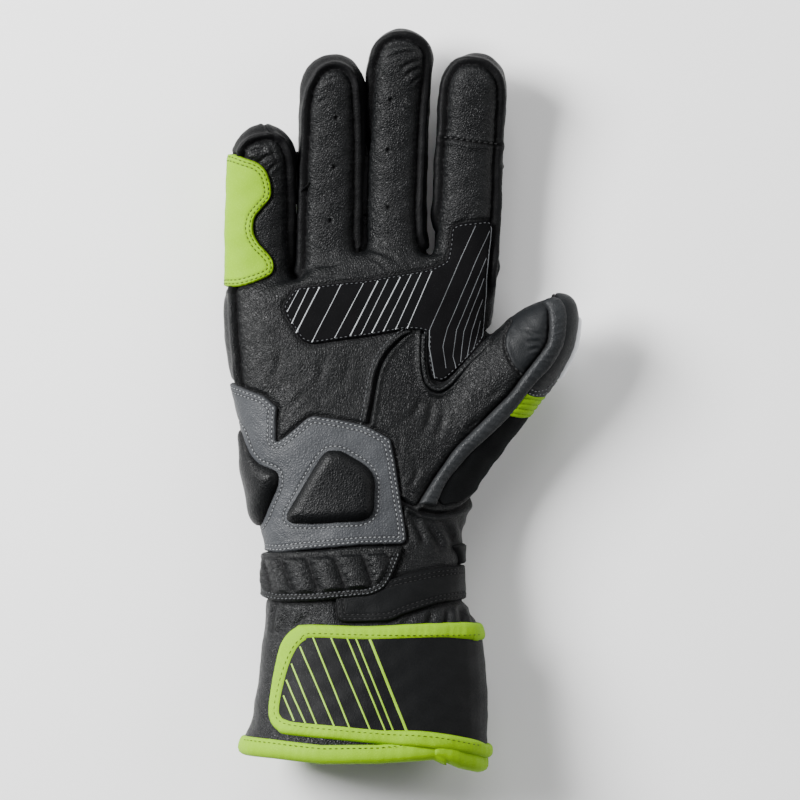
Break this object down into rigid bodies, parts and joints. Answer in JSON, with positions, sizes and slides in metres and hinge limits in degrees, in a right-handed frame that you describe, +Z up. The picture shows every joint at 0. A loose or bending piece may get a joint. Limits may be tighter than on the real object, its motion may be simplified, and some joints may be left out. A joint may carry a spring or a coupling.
{
  "type": "motorcycle glove",
  "caption": "Right-hand motorcycle glove with a long flared cuff, padded heel, suede grip band, wrist strap and a wide closure flap, lying palm up.",
  "frame": {"origin": "on the flat that the back of the hand rests on, under the middle of the palm", "axes": "+Y from the cuff to the fingertips, +X to the thumb side, +Z up out of the palm"},
  "size_m": [0.1434, 0.2951, 0.0613],
  "materials": {
    "black_leather": "fine pebbled grain, soft satin sheen",
    "grey_leather": "smooth grey leather, satin",
    "fluo_leather": "fluorescent yellow leather, fine grain, satin",
    "suede": "matte black suede with thin silver slanting lines",
    "strap_leather": "black synthetic leather, satin",
    "stretch_fabric": "black stretch knit, matte",
    "white_guard": "white moulded thumb guard, satin"
  },
  "bodies": {
    "root": {"palm_panel": "black_leather", "hand_back": "black_leather", "cuff_front": "black_leather", "cuff_back": "black_leather", "little_front": "black_leather", "ring_front": "black_leather", "middle_front": "black_leather", "index_front": "black_leather", "index_touch_tip": "black_leather", "little_back": "black_leather", "ring_back": "black_leather", "middle_back": "black_leather", "index_back": "black_leather", "thumb_back": "black_leather", "thumb_front": "black_leather", "outer_heel_pad": "black_leather", "centre_heel_pad": "black_leather", "ribbed_wrist_panel": "black_leather", "thumb_seam_welt": "black_leather", "heel_patch": "grey_leather", "thumb_touch_tip": "grey_leather", "thumb_binding": "grey_leather", "thumb_side_panel": "grey_leather", "little_finger_patch": "fluo_leather", "thumb_accordion": "fluo_leather", "flap_binding": "fluo_leather", "hem_binding": "fluo_leather", "grip_band": "suede", "wrist_strap": "strap_leather", "closure_flap": "strap_leather", "strap_keeper": "strap_leather", "thumb_stretch_panel": "stretch_fabric", "thumb_guard": "white_guard"}
  },
  "joints": []
}
